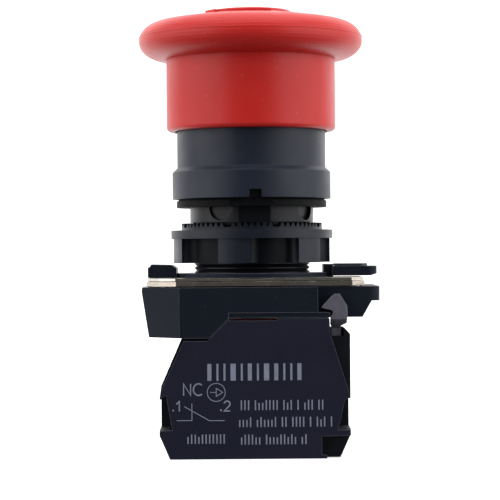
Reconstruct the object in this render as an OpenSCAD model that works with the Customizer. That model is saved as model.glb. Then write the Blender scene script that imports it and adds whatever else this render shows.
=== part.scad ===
// Panel-mounted emergency stop button: mushroom head, ring nut, clip-on collar
// and one normally closed contact block.
// Origin: centre of the gasket's underside, which is the panel's front face.
// +Z points out of the panel to the operator, -Y is the contact block's side.

/* [Mushroom cap] */
// Diameter over the rim
cap_d = 40; // [38:0.5:48]
// Radial width of the rounded rim
rim_w = 4.5; // [3.5:0.1:4.8]
// Height of the rounded rim
rim_h = 6.8; // [5:0.1:8.5]
// Rise of the dome above the rim
dome_h = 1.65; // [1:0.05:3]
// Diameter of the raised disc on the dome
disc_d = 15; // [12:0.5:18]
// Height of the raised disc above the dome's crown
disc_h = 0.2; // [0.1:0.05:0.5]
// Height of the skirt below the rim
skirt_h = 12.85; // [11.5:0.05:16]
// Wall of the skirt
skirt_wall = 1.4; // [1:0.1:1.6]
// Gap between the skirt and the sleeve inside it
skirt_gap = 0.43; // [0.3:0.01:0.8]
// Number of turn arrows
arrows = 3; // [2:1:4]
// Travel of the cap when pressed
press_travel = 5; // [3:0.5:5.5]

/* [Bezel and barrel] */
// Diameter of the bezel ring
bezel_d = 28.3; // [28:0.1:32]
// Height of the bezel ring's straight wall
bezel_h = 4.8; // [4:0.1:7]
// Diameter of the sleeve above the bezel ring
sleeve_d = 26.54; // [26.4:0.02:27.4]
// Wall of the sleeve
sleeve_wall = 1.37; // [1.2:0.01:1.5]
// Height of the panel gasket
gasket_h = 1.5; // [1:0.1:2.5]
// Diameter of the panel gasket
gasket_d = 26.8; // [25.5:0.1:28]
// Diameter of the neck that passes through the panel
neck_d = 22.06; // [21.6:0.02:22.2]
// Length of the plain neck
neck_h = 2.65; // [2:0.05:4]
// Crest diameter of the barrel's thread
thread_d = 20.6; // [20:0.1:21]
// Pitch of the barrel's thread
thread_pitch = 0.8; // [0.7:0.05:1.6]
// Depth of the barrel below the panel face
barrel_h = 17.5; // [16.5:0.1:18.5]
// Bore of the barrel
barrel_bore_d = 17.2; // [17:0.1:17.8]

/* [Push rod and latch] */
// Diameter of the push rod
rod_d = 6; // [5:0.1:6.4]
// Running clearance between parts that slide
run_gap = 0.1; // [0.05:0.01:0.15]
// Thickness of the pusher disc
pusher_h = 1.85; // [1.5:0.05:2]
// Gap between the cam core and the barrel's bore
core_gap = 0.2; // [0.1:0.05:0.4]
// Travel of each latch block
latch_travel = 0.8; // [0.5:0.1:1]
// Wire diameter of the return spring
spring_wire = 0.8; // [0.5:0.1:1]

/* [Ring nut] */
// Diameter of the nut's flange
nut_flange_d = 28.9; // [28:0.1:32]
// Thickness of the flange
nut_flange_h = 1.5; // [1:0.1:2]
// Diameter over the grip lugs
nut_lug_d = 28.1; // [27:0.1:28.9]
// Width of one grip lug
nut_lug_w = 5.1; // [4:0.1:6]
// Number of grip lugs
nut_lugs = 6; // [5:1:8]
// Diameter of the toothed ring
nut_tooth_d = 25.2; // [24.5:0.1:26.5]
// Number of teeth that bite the panel
nut_teeth = 72; // [60:4:80]
// Height of the whole nut
nut_h = 7.05; // [6.5:0.05:7.2]

/* [Collar] */
// Length of the collar
collar_len = 41.5; // [40:0.5:50]
// Depth of the collar across its three block places
collar_w = 30; // [29:0.5:36]
// Distance from the barrel's axis to the collar's left end
collar_left = 19.4; // [19:0.1:24]
// Height of the collar's deep end
collar_h = 8.7; // [8:0.1:9.5]
// Height of the two stacked metal plates
plate_t = 1.4; // [1:0.1:1.5]
// Thickness of the upper, springy plate
spring_plate_t = 0.5; // [0.4:0.05:0.6]
// Thickness of the lock ring's disc
ring_t = 0.75; // [0.6:0.05:0.9]
// Height of the lock ring's ears above the plate
ear_h = 2.4; // [2:0.1:2.6]

/* [Contact block] */
// Width of one block along Y
block_w = 10; // [9:0.5:11]
// Height of the block below the collar
block_h = 24.1; // [23.5:0.1:30]
// Reach of the block to the left of the axis
block_left = 16.2; // [15.8:0.1:18]
// Reach of the block to the right of the axis
block_right = 16.8; // [16.4:0.1:18]
// Thickness of the cover plate
cover_t = 1.45; // [1:0.05:1.8]
// Wall of the housing
wall = 1.2; // [1:0.05:1.4]
// Distance of each terminal screw from the axis
terminal_x = 10.6; // [10:0.1:11]
// Diameter of a terminal screw's shank
screw_d = 3.3; // [2.8:0.1:3.5]
// Room between the strip and the clamp for the wire
wire_gap = 4.4; // [4:0.1:4.8]
// Width of the red plunger along X
plunger_w = 8.6; // [7:0.1:9]

/* [Hidden] */
$fn = 64;
eps = 0.01;

// Heights of the head, upwards from the panel face
bezel_bottom = gasket_h;
bezel_top = bezel_bottom + bezel_h;
bezel_chamfer = 0.8;
sleeve_r = sleeve_d / 2;
sleeve_in_r = sleeve_r - sleeve_wall;
travel_room = 1.5;
skirt_bottom = bezel_top + bezel_chamfer + press_travel + travel_room;
skirt_in_r = sleeve_r + skirt_gap;
skirt_r = skirt_in_r + skirt_wall;
skirt_round = 0.8;
rim_bottom = skirt_bottom + skirt_h;
rim_mid = rim_bottom + rim_h * 0.485;
rim_top = rim_bottom + rim_h;
rim_r = cap_d / 2 - rim_w;
crown = rim_top + dome_h;
dome_r = rim_r * rim_r / (2 * dome_h);
cap_top = crown + disc_h;
core_seat = rim_bottom - 2.45;
sleeve_top = core_seat - press_travel - 1.4;
socket_r = skirt_in_r - 1.55;
ceiling = rim_top - 1.75;

// Barrel, seats and threads
neck_r = neck_d / 2;
thread_r = thread_d / 2;
thread_root = thread_r - 0.4;
barrel_r = barrel_bore_d / 2;
barrel_flange_top = bezel_bottom + 2.4;
barrel_tube_top = bezel_bottom + 8;
counterbore_r = sleeve_r - 0.27;
notch_w = 2.1;
notch_h = 1.4;
notch_x = 0.65;
dents = 4;
dent_r = 2.4;
dent_depth = 0.8;
dent_turned = -30;
key_w = 5.6;
key_x = 0.5;

// Ring nut
nut_top = -neck_h - 0.15;
nut_bottom = nut_top - nut_h;
tooth_h = 0.8;
nut_ring_h = 0.45;
nut_flange_top = nut_top - tooth_h - nut_ring_h;
nut_core_r = nut_lug_d / 2 - 2.3;
flank_r = 1.8;
nut_bore_r = thread_r + run_gap;
nut_turned = -13;

// Collar, plate and lock ring
plate_top = nut_bottom - 2.6;
plate_bottom = plate_top - plate_t;
collar_top = plate_bottom - 0.15;
collar_bottom = collar_top - collar_h;
collar_right = collar_len - collar_left;
collar_front = -collar_w / 2;
collar_bore_r = thread_r + 0.45;
wing_h = 2.5;
web_bottom = collar_top - 5.3;
ledge_h = 0.9;
recess_x = 11.25;
recess_y = 2;
ring_bottom = plate_top + 0.05;
ring_r = 13.6;
ear_in = 13.4;
ear_left = collar_left - 0.9;
ear_right = collar_right;
tongue_x = -12.2;
tongue_t = 1;
tongue_w = 3.6;
tongue_h = 3.4;

// Push rod, core and latch
rod_r = rod_d / 2;
web_t = 1.2;
pusher_bottom = web_bottom + press_travel + 0.05;
pusher_top = pusher_bottom + pusher_h;
web_top = pusher_top + 0.2 + web_t;
pusher_r = barrel_r - run_gap;
rod_flange_z = 12;
rod_flange_t = 1.2;
core_r = barrel_r - core_gap;
core_wall = 2.2;
core_in_r = core_r - core_wall;
rod_flange_r = core_in_r - 0.5;
core_screws = 3;
core_screw_at = 10.2;
core_screw_r = 1.1;
core_screw_head = 1.65;
core_bottom = barrel_tube_top - 0.3;
core_plate_t = 2.4;
cone_bottom = core_bottom + 1.4;
latch_slope = latch_travel / press_travel;
latch_low = cone_bottom + 0.4;
latch_high = latch_low + 3.6;
cone_top = latch_high + press_travel + 0.6;
latch_w = 4.2;
cage_in_r = core_r + 0.5;
cage_out_r = sleeve_in_r - 0.05;
cage_bottom = barrel_tube_top;
cage_top = latch_high + 1.6;
block_back = cage_out_r - 1.25;
rod_top = core_seat + core_plate_t + 1.3;
coil_r = (rod_r + rod_flange_r) / 2;

// Contact block
block_front = collar_front;
block_back_y = block_front + block_w;
housing_front = block_front + cover_t + 0.05;
cavity_back = block_back_y - wall;
mid_y = (housing_front + cavity_back) / 2;
block_top = web_bottom;
block_bottom = block_top - block_h;
shoulder_z = collar_bottom - 0.6;
housing_shoulder = collar_bottom - 0.1;
cavity_floor = block_bottom + wall;
entry_top = block_bottom + 10.1;
entry_bottom = block_bottom + 4.9;
strip_t = 0.8;
strip_bottom = entry_top + 1.0;
clamp_t = 1;
clamp_top = strip_bottom - wire_gap;
head_h = 2.2;
head_r = 2.8;
head_top = clamp_top - clamp_t;
floor_top = head_top - head_h - 0.3;
divider_in = 6.1;
divider_out = 7;
chamber_end = 14.8;
washer_x = 6.4;
strip_w = 5;
contact_z = strip_bottom + 4.3;
tip_t = 0.6;
tip_x = 3.9;
tip_r = 0.8;
bridge_t = 0.6;
bridge_top = contact_z - strip_t - tip_t - 0.2;
bridge_len = 2 * tip_x + 2;
bridge_w = 2.6;
plunger_top = pusher_bottom - 0.05;
plunger_t = 4;
stem_w = 4.4;
stem_front = -sqrt(pow(barrel_r - run_gap, 2) - pow(stem_w / 2, 2));
head_front = housing_front + run_gap;
head_back = cavity_back - run_gap;
head_top_z = block_top - 0.25;
head_low_z = block_top - 2.4;
stem_bottom = bridge_top - 5;
hook_y = block_front + 0.4;
hook_t = 1;
hook_pivot = [14.5, block_top - 4.7];
pin_r = 0.55;
pin_len = 4.4;
hook_slot_y = block_front + 2.05;

// ---------- helpers ----------
// A tube: outer radius, inner radius, bottom and top heights
module tube(r_out, r_in, z0, z1) {
    translate([0, 0, z0]) difference() {
        cylinder(r = r_out, h = z1 - z0);
        translate([0, 0, -eps]) cylinder(r = r_in, h = z1 - z0 + 2 * eps);
    }
}

// A box from its two corners
module block(low, high) {
    translate(low) cube(high - low);
}

// An outline in X and Z, extruded along Y
module side_plate(points, y0, y1) {
    translate([0, y1, 0]) rotate([90, 0, 0]) linear_extrude(y1 - y0) polygon(points);
}

// Points of a round wire's coil
function coil_ring(centre_r, wire_r, angle, z, sides) = [for (k = [0:sides - 1])
    let (a = 360 * k / sides, r = centre_r + wire_r * cos(a))
    [r * cos(angle), r * sin(angle), z + wire_r * sin(a)]];

// A coil spring along Z with flat-lying end turns
module coil(centre_r, wire_d, z0, z1, turns, steps = 16, sides = 6) {
    wire_r = wire_d / 2;
    last = turns * steps;
    low = z0 + wire_r;
    high = z1 - wire_r;
    points = [for (i = [0:last]) each
        coil_ring(centre_r, wire_r, 360 * i / steps, low + (high - low) * i / last, sides)];
    sides_faces = [for (i = [0:last - 1], k = [0:sides - 1])
        [i * sides + k, i * sides + (k + 1) % sides,
         (i + 1) * sides + (k + 1) % sides, (i + 1) * sides + k]];
    polyhedron(points, concat([[for (k = [0:sides - 1]) sides - 1 - k]], sides_faces,
        [[for (k = [0:sides - 1]) last * sides + k]]), convexity = 6);
}

// ---------- mushroom cap ----------
function dome_z(r) = crown - r * r / (2 * dome_r);

// The rim's round outline, from its top at 90 to its underside at -90 degrees
function rim_point(a) = [rim_r + rim_w * cos(a),
    rim_mid + (a > 0 ? rim_top - rim_mid : rim_mid - rim_bottom) * sin(a)];

module turn_arrow(angle) {
    shaft_r = 11.2;
    shaft_w = 1.1;
    height = 0.3;
    z0 = dome_z(shaft_r) - 0.5;
    sweep = 48;
    rotate([0, 0, angle]) {
        rotate_extrude(angle = sweep)
            translate([shaft_r - shaft_w / 2, z0]) square([shaft_w, 0.5 + height]);
        translate([0, 0, z0]) linear_extrude(0.5 + height)
            polygon([[shaft_r - 1.4, 0.1], [shaft_r + 1.4, 0.1], [shaft_r, -2.6]]);
    }
}

module mushroom_cap() {
    corner = [for (a = [0:-15:-90])
        [skirt_r - skirt_round + skirt_round * cos(a), skirt_bottom + skirt_round + skirt_round * sin(a)]];
    dome = [for (i = [0:6]) let (r = disc_d / 2 + (rim_r - disc_d / 2) * i / 6) [r, dome_z(r)]];
    rim = [for (a = [80:-10:-90]) rim_point(a)];
    color("crimson") union() {
        rotate_extrude() polygon(concat(
            [[0, cap_top], [disc_d / 2 - 0.3, cap_top], [disc_d / 2, cap_top - 0.3]],
            dome, rim, [[skirt_r, rim_bottom]], corner,
            [[skirt_in_r, skirt_bottom], [skirt_in_r, core_seat], [socket_r, core_seat],
             [socket_r, ceiling - 2], [socket_r - 2, ceiling], [0, ceiling]]));
        for (i = [0:arrows - 1]) turn_arrow(360 * i / arrows);
        for (i = [0:core_screws - 1]) rotate([0, 0, 360 * i / core_screws])
            translate([core_screw_at, 0, core_seat + core_plate_t + 0.1]) difference() {
                cylinder(r = 1.9, h = ceiling - core_seat - core_plate_t);
                translate([0, 0, -1]) cylinder(r = core_screw_r - 0.05, h = 4.4);
            }
    }
}

// ---------- cam core inside the cap ----------
module cam_core() {
    core_flange = core_seat + 0.05;
    color("dimgray") difference() {
        rotate_extrude() polygon([[core_in_r, core_bottom], [core_r, core_bottom],
            [core_r, cone_bottom], [core_r - latch_slope * (cone_top - cone_bottom), cone_top],
            [core_r, cone_top + 0.6], [core_r, core_flange], [socket_r - 0.05, core_flange],
            [socket_r - 0.05, core_flange + core_plate_t], [rod_r + run_gap, core_flange + core_plate_t],
            [rod_r + run_gap, core_flange], [core_in_r, core_flange]]);
        for (i = [0:core_screws - 1]) rotate([0, 0, 360 * i / core_screws])
            translate([core_screw_at, 0, core_flange - 1])
                cylinder(r = core_screw_r + run_gap, h = core_plate_t + 2);
    }
}

module core_screws() {
    under = core_seat + 0.05;
    color("silver") for (i = [0:core_screws - 1]) rotate([0, 0, 360 * i / core_screws])
        translate([core_screw_at, 0, under - 1.2]) difference() {
            union() {
                cylinder(r1 = core_screw_head - 0.4, r2 = core_screw_head, h = 0.4);
                translate([0, 0, 0.4 - eps]) cylinder(r = core_screw_head, h = 0.8 + eps);
                translate([0, 0, 1.2 - eps]) cylinder(r = core_screw_r - 0.05, h = core_plate_t + 3);
            }
            for (a = [0, 90]) rotate([0, 0, a]) cube([2, 0.5, 1.4], center = true);
        }
}

// ---------- push rod and its springs ----------
clip_z = core_seat + core_plate_t + 0.15;
clip_t = 0.5;

module push_rod() {
    color("gainsboro") rotate_extrude() polygon([[0, pusher_bottom], [pusher_r, pusher_bottom],
        [pusher_r, pusher_top], [rod_r, pusher_top], [rod_r, rod_flange_z],
        [rod_flange_r, rod_flange_z], [rod_flange_r, rod_flange_z + rod_flange_t],
        [rod_r, rod_flange_z + rod_flange_t], [rod_r, clip_z - 0.05], [rod_r - 0.5, clip_z - 0.05],
        [rod_r - 0.5, clip_z + clip_t + 0.05], [rod_r, clip_z + clip_t + 0.05],
        [rod_r, rod_top - 0.5], [rod_r - 0.5, rod_top], [0, rod_top]]);
}

module rod_clip() {
    color("silver") difference() {
        tube(rod_r + 1.4, rod_r - 0.45, clip_z, clip_z + clip_t);
        block([0, -rod_r + 0.9, clip_z - 1], [rod_r + 3, rod_r - 0.9, clip_z + 2]);
    }
}

module release_spring() {
    color("silver")
        coil((rod_r + core_in_r) / 2, 0.7, rod_flange_z + rod_flange_t + 0.05, core_seat - 0.1, 5);
}

module return_spring() {
    color("silver") coil(coil_r, spring_wire, web_top + 0.03, rod_flange_z - 0.03, 7);
}

// ---------- bezel, barrel and gasket ----------
module bezel() {
    bezel_r = bezel_d / 2;
    color("#3a3f48") difference() {
        rotate_extrude() polygon([[counterbore_r, bezel_bottom], [bezel_r, bezel_bottom],
            [bezel_r, bezel_top], [sleeve_r, bezel_top + bezel_chamfer], [sleeve_r, sleeve_top - 0.4],
            [sleeve_r - 0.4, sleeve_top], [sleeve_in_r, sleeve_top],
            [sleeve_in_r, barrel_flange_top + 0.05], [counterbore_r, barrel_flange_top + 0.05]]);
        block([notch_x - notch_w / 2, -bezel_r - 1, bezel_bottom - 1],
              [notch_x + notch_w / 2, -counterbore_r + 0.3, bezel_bottom + notch_h]);
        rotate_extrude() translate([sleeve_r - 0.35, sleeve_top - 2]) square([1, 1.2]);
    }
}

module sleeve_seal() {
    color("#202020")
        tube(sleeve_r + skirt_gap - 0.15, sleeve_r - 0.33, sleeve_top - 1.97, sleeve_top - 0.83);
}

// Ridges of the barrel's thread, drawn as rings
thread_start = -neck_h - 0.5;
thread_turns = floor((barrel_h - neck_h - 1) / thread_pitch);

module threaded_barrel() {
    ridge = thread_pitch / 2;
    ridges = [for (i = [0:thread_turns - 1]) let (z = thread_start - i * thread_pitch)
        each [[thread_root, z], [thread_r, z - ridge * 0.8], [thread_r, z - ridge * 1.2],
            [thread_root, z - 2 * ridge]]];
    body = concat([[barrel_r, bezel_bottom + 0.8], [barrel_r + 1.5, barrel_flange_top],
            [barrel_r + 1.5, barrel_tube_top], [sleeve_in_r - 0.1, barrel_tube_top],
            [sleeve_in_r - 0.1, barrel_flange_top], [counterbore_r - 0.1, barrel_flange_top],
            [counterbore_r - 0.1, bezel_bottom + 0.05], [neck_r - 0.15, bezel_bottom + 0.05],
            [neck_r - 0.15, 0], [neck_r, 0], [neck_r, -neck_h], [thread_root, -neck_h]],
        ridges, [[thread_root, 0.6 - barrel_h], [thread_root - 0.6, -barrel_h], [barrel_r, -barrel_h]]);
    color("#2c3038") difference() {
        union() {
            rotate_extrude() polygon(body);
            translate([0, 0, web_top - web_t]) difference() {
                cylinder(r = barrel_r + 0.3, h = web_t);
                translate([0, 0, -eps]) cylinder(r = rod_r + run_gap, h = web_t + 2 * eps);
            }
        }
        for (i = [0:dents - 1]) rotate([0, 0, 360 * i / dents + dent_turned]) intersection() {
            translate([0, -neck_r - 1, 0]) rotate([-90, 0, 0]) cylinder(r = dent_r, h = 1 + dent_depth);
            block([-dent_r, -neck_r - 2, -neck_h], [dent_r, 0, gasket_h]);
        }
        // keyway down the front of the neck
        block([key_x - key_w / 2, -neck_r - 1, -neck_h - eps],
            [key_x + key_w / 2, -neck_r + 0.5, gasket_h]);
        for (i = [0:5]) rotate([0, 0, 60 * i]) translate([barrel_r - 2.4, 0, web_top - web_t - 1])
            cylinder(d = 2.6, h = web_t + 2);
    }
}

module panel_gasket() {
    color("#181818") difference() {
        tube(gasket_d / 2, neck_r + 0.07, 0, gasket_h);
        block([-3.8, -gasket_d / 2 - 1, -1], [6.3, -gasket_d / 2 + 0.55, gasket_h + 1]);
        rotate_extrude() translate([gasket_d / 2 - 0.35, gasket_h - 0.3]) square([1, 0.4]);
    }
}

// ---------- latch ----------
module latch_cage() {
    color("ivory") difference() {
        tube(cage_out_r, cage_in_r, cage_bottom, cage_top);
        block([-cage_out_r - 1, -latch_w / 2 - run_gap, latch_low - run_gap],
              [cage_out_r + 1, latch_w / 2 + run_gap, latch_high + run_gap]);
        for (s = [-1, 1]) block([s * (block_back + 0.5) - 1, -3.2, latch_low - run_gap],
              [s * (block_back + 0.5) + 1, 3.2, latch_high + run_gap]);
    }
}

// Radius of the core's cone at a height, with the core at rest
function cone_r(z) = core_r - latch_slope * (z - cone_bottom);

module latch_block(side) {
    gap = 0.06;
    color("goldenrod") mirror([side < 0 ? 1 : 0, 0, 0])
        side_plate([[cone_r(latch_low) + gap, latch_low], [block_back, latch_low],
            [block_back, latch_high], [cone_r(latch_high) + gap, latch_high]], -latch_w / 2, latch_w / 2);
}

module latch_springs() {
    leaf = 0.2;
    half = 2.8;
    root = block_back + 0.05;
    end = sqrt(pow(sleeve_in_r - 0.03, 2) - pow(half, 2));
    color("silver") for (s = [-1, 1]) mirror([s < 0 ? 1 : 0, 0, 0])
        translate([0, 0, latch_low + 0.4]) linear_extrude(latch_high - latch_low - 0.8)
            polygon([[root, 0.4], [root, -0.4], [end - 0.15, -half], [end, 0.15 - half],
                [root + leaf, -0.3], [root + leaf, 0.3], [end, half - 0.15], [end - 0.15, half]]);
}

// ---------- ring nut ----------
module ring_nut() {
    pitch = 360 / nut_teeth;
    tooth_in = neck_r + 0.1;
    tooth_half = (nut_tooth_d / 2) * sin(pitch / 2);
    tooth_base = nut_flange_top + nut_ring_h;
    // each gap between two lugs is a ring sector with a round flank at both ends
    flank_at = nut_core_r + flank_r;
    flank_turn = asin((nut_lug_w / 2 + flank_r) / flank_at);
    gap_turn = 360 / nut_lugs - 2 * flank_turn;
    color("#2c3038") union() {
        tube(nut_tooth_d / 2, nut_bore_r, nut_flange_top - eps, tooth_base);
        tube(nut_flange_d / 2, nut_bore_r, nut_flange_top - nut_flange_h, nut_flange_top);
        difference() {
            tube(nut_lug_d / 2, nut_bore_r, nut_bottom, nut_flange_top - nut_flange_h + eps);
            for (i = [0:nut_lugs - 1]) rotate([0, 0, 360 * i / nut_lugs + nut_turned - 90]) {
                for (a = [flank_turn, flank_turn + gap_turn]) rotate([0, 0, a])
                    translate([flank_at, 0, nut_bottom - 1]) cylinder(r = flank_r, h = nut_h);
                rotate([0, 0, flank_turn]) rotate_extrude(angle = gap_turn)
                    translate([nut_core_r, nut_bottom - 1]) square([nut_lug_d, nut_h]);
            }
        }
        for (i = [0:nut_teeth - 1]) rotate([0, 0, pitch * i])
            translate([tooth_in, 0, tooth_base - 0.02]) rotate([90, 0, 90])
                linear_extrude(nut_tooth_d / 2 - 0.05 - tooth_in)
                    polygon([[-tooth_half * 0.94, 0], [tooth_half * 0.94, 0],
                        [0.05, tooth_h + 0.02], [-0.05, tooth_h + 0.02]]);
    }
}

// ---------- lock ring and plate ----------
module lock_ring() {
    top = plate_top + ear_h;
    color("#23262c") difference() {
        union() {
            tube(ring_r, thread_r + run_gap, ring_bottom, ring_bottom + ring_t);
            // left ear with its chamfered top and inner corner
            side_plate([[-ear_left, ring_bottom], [-ear_in, ring_bottom], [-ear_in, top - 0.7],
                [-ear_in - 0.9, top - 0.1], [-ear_left + 0.6, top], [-ear_left + 0.3, top - 0.5],
                [-ear_left, top - 0.5]], -4.2, 4.2);
            // root of the handle
            block([ear_in - 0.8, -3.4, ring_bottom], [ear_in + 1, 3.4, top - 0.15]);
            // handle
            intersection() {
                side_plate([[ear_in + 0.8, ring_bottom + 0.15], [ear_right - 1.2, ring_bottom + 0.15],
                    [ear_right, ring_bottom + 0.5], [ear_right, top - 0.5],
                    [ear_in + 0.8, top - 0.5]], -6, 6);
                translate([12, 0, ring_bottom - 1]) linear_extrude(6) hull() {
                    translate([0, -4.2]) square([1, 8.4]);
                    translate([ear_right - 12 - 1.6, -3.6]) circle(r = 1.6);
                    translate([ear_right - 12 - 1.6, 3.6]) circle(r = 1.6);
                }
            }
        }
        // grip grooves across the handle's end
        for (i = [0:2]) block([ear_right - 1.8 - i * 1.1, -3.4, ring_bottom - 1],
            [ear_right - 1.3 - i * 1.1, 3.4, ring_bottom + 0.35]);
    }
}

module lever_pad() {
    base = plate_top + ear_h - 0.45;
    color("#6b6f76") translate([0, 0, base]) linear_extrude(0.4) polygon([[ear_in + 1.2, -3.2],
        [ear_right - 2.6, -3.2], [ear_right - 1.6, -2.2], [ear_right - 1.6, 2.2],
        [ear_right - 2.6, 3.2], [ear_in + 1.2, 3.2]]);
}

plate_points = [[-13.2, -collar_w / 2 + 1.5], [collar_right - 4.8, -collar_w / 2 + 1.5],
    [collar_right - 2.6, -collar_w / 2 + 4]];
plate_left = [[-collar_left + 0.9, -collar_w / 2 + 6.5], [-collar_left + 3.2, -collar_w / 2 + 2.8]];
rivet_at = [[-15, -7.5], [-15, 7.5], [17.7, -8.2], [17.7, 8.2]];
rivet_r = 1.1;

module plate_sheet(z0, z1, inset) {
    left = [for (p = plate_left) [p[0] + inset, p[1] + inset]];
    front = [for (p = plate_points) [p[0] - inset, p[1] + inset]];
    half = concat(left, front);
    back = [for (i = [len(half) - 1:-1:0]) [half[i][0], -half[i][1]]];
    difference() {
        translate([0, 0, z0]) linear_extrude(z1 - z0) polygon(concat(half, back));
        translate([0, 0, z0 - 1]) cylinder(r = collar_bore_r, h = z1 - z0 + 2);
        for (p = rivet_at) translate([p[0], p[1], z0 - 1]) cylinder(r = rivet_r + 0.05, h = z1 - z0 + 2);
    }
}

module lock_plate() {
    color("silver") plate_sheet(plate_bottom, plate_top - spring_plate_t - 0.08, 0);
}

module spring_plate() {
    color("lightgray") plate_sheet(plate_top - spring_plate_t, plate_top, 0.12);
}

module plate_rivets() {
    color("gray") for (p = rivet_at) translate([p[0], p[1], collar_top - 3])
        cylinder(r = rivet_r, h = plate_top - collar_top + 3);
}

// ---------- collar ----------
module collar_body() {
    left = collar_left;
    right = collar_right;
    front = collar_front;
    corner = 2;
    outline = [[-left + 0.1, collar_top], [right, collar_top], [right, collar_top - wing_h],
        [right - 1.5, collar_top - wing_h], [right - 3.1, web_bottom], [-4.1, web_bottom],
        [-4.1 - (web_bottom - collar_bottom), collar_bottom], [-left + 1.3, collar_bottom],
        [-left, collar_top - 0.7]];
    color("#1d2026") difference() {
        intersection() {
            side_plate(outline, front, -front);
            translate([0, 0, collar_bottom - 1]) linear_extrude(collar_h + 2) union() {
                polygon([[-12.6, front], [recess_x + 2.05, front], [recess_x + 2.05, front + recess_y],
                    [right - corner, front + recess_y], [right - corner, -front - recess_y],
                    [recess_x + 2.05, -front - recess_y], [recess_x + 2.05, -front], [-12.6, -front],
                    [-left, -front - 6.5], [-left, front + 6.5]]);
                for (s = [-1, 1]) translate([right - corner, s * (-front - recess_y - corner)])
                    circle(r = corner);
                translate([right - corner - 1, front + recess_y + corner])
                    square([corner + 1, 2 * (-front - recess_y - corner)]);
            }
        }
        // recess over the hook's ledge, front and back
        for (s = [-1, 1]) block([recess_x, s > 0 ? -front - recess_y : front - 1, web_bottom + ledge_h],
            [recess_x + 3, s > 0 ? -front + 1 : front + recess_y, collar_top + 1]);
        // bore for the barrel and the pusher
        translate([0, 0, collar_bottom - 1]) cylinder(r = collar_bore_r, h = collar_h + 2);
        // band along the lower edge of the front and back
        for (s = [-1, 1]) block([-4.1, s > 0 ? -front - 0.15 : front - 1, web_bottom - 1],
            [right, s > 0 ? -front + 1 : front + 0.15, web_bottom + ledge_h]);
        // clip slots for the two free block places
        for (y = [0, block_w]) block([13.4, y - 1.6, web_bottom - 1], [16.6, y + 1.6, collar_top - 2]);
        // slots for the blocks' tongues at all three places
        for (i = [-1:1]) translate([tongue_x, i * block_w, 0])
            block([-0.2, -tongue_w / 2 - 0.2, collar_bottom - 1],
                [tongue_t + 0.2, tongue_w / 2 + 0.2, collar_bottom + tongue_h + 0.3]);
        for (p = rivet_at) translate([p[0], p[1], collar_top - 3.05])
            cylinder(r = rivet_r + 0.05, h = 5);
    }
}

// ---------- contact block ----------
housing_outline = [[-4.1 - (block_top - housing_shoulder), housing_shoulder], [-4.1, block_top],
    [13.2, block_top], [13.2, block_top - 1.9], [block_right - 0.9, block_top - 1.9],
    [block_right, block_top - 2.9],
    [block_right, block_bottom + 3.9], [block_right - 1.8, block_bottom], [-block_left + 1.9, block_bottom],
    [-block_left, block_bottom + 3.9], [-block_left, entry_top], [-block_left + 0.35, entry_top + 2.4],
    [-12.3, housing_shoulder]];

module terminal_chamber(side) {
    mirror([side < 0 ? 1 : 0, 0, 0]) {
        block([divider_out, housing_front - 1, floor_top],
            [chamber_end - 0.3, cavity_back, strip_bottom + strip_t + 0.1]);
        // wire entry through the end wall
        block([chamber_end - 1, housing_front - 1, entry_bottom],
            [block_right + 2, cavity_back, entry_top]);
        // room above the strip for the screw's end
        translate([terminal_x, mid_y, strip_bottom]) cylinder(d = screw_d + 0.6, h = 4.6);
        // driver hole through the floor
        translate([terminal_x, mid_y, block_bottom - 1])
            cylinder(r = head_r + 0.15, h = floor_top - block_bottom + 2);
    }
}

// The housing's moulding, from its top to the underside of its floor
module housing_moulding() {
    difference() {
        union() {
            side_plate(housing_outline, housing_front, block_back_y);
            // tongue that enters the collar
            translate([0, block_front + block_w / 2, 0]) block([tongue_x, -tongue_w / 2, shoulder_z - 1],
                [tongue_x + tongue_t, tongue_w / 2, collar_bottom + tongue_h]);
        }
        // contact chamber
        side_plate([[-3.2, block_top - 1.3], [11.9, block_top - 1.3], [11.9, strip_bottom],
            [-11.2, strip_bottom], [-10.8, shoulder_z - 1.3], [-6.9, shoulder_z - 1.3]],
            housing_front - 1, cavity_back);
        // well for the plunger and its spring
        block([-divider_in, housing_front - 1, cavity_floor], [divider_in, cavity_back, strip_bottom + 1]);
        // slot for the plunger's head
        block([-plunger_w / 2 - run_gap, housing_front - 1, block_top - 4],
              [plunger_w / 2 + run_gap, cavity_back, block_top + 1]);
        for (s = [-1, 1]) terminal_chamber(s);
        // slot for the hook clip
        block([13.0, hook_slot_y - 0.25, block_top - 7.6], [15.8, hook_slot_y + 1.25, block_top]);
        block([13.0, housing_front - 1, block_top - 3.2], [15.8, hook_slot_y + 1, block_top]);
        // seat for the hook's pin
        translate([hook_pivot[0], hook_slot_y - 0.2, hook_pivot[1]]) rotate([-90, 0, 0])
            cylinder(r = pin_r, h = pin_len);
        // holes for the cover's pegs
        for (p = cover_pegs) translate([p[0], housing_front - 1, p[1]]) rotate([-90, 0, 0])
            cylinder(r = peg_r + 0.05, h = 4.1);
    }
}

module below_floor_top() {
    block([-block_left - 1, block_front, block_bottom - 1], [block_right + 1, block_back_y + 1, floor_top]);
}

// Walls, dividers and tongue
module block_housing() {
    color("#1b1d22") difference() {
        housing_moulding();
        below_floor_top();
    }
}

// Floor with the two driver holes
module block_floor() {
    color("#1b1d22") intersection() {
        housing_moulding();
        below_floor_top();
    }
}

cover_pegs = [[-13.6, shoulder_z - 4.9], [14.9, block_top - 10.2], [0, block_bottom + 0.65]];
peg_r = 0.45;

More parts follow.
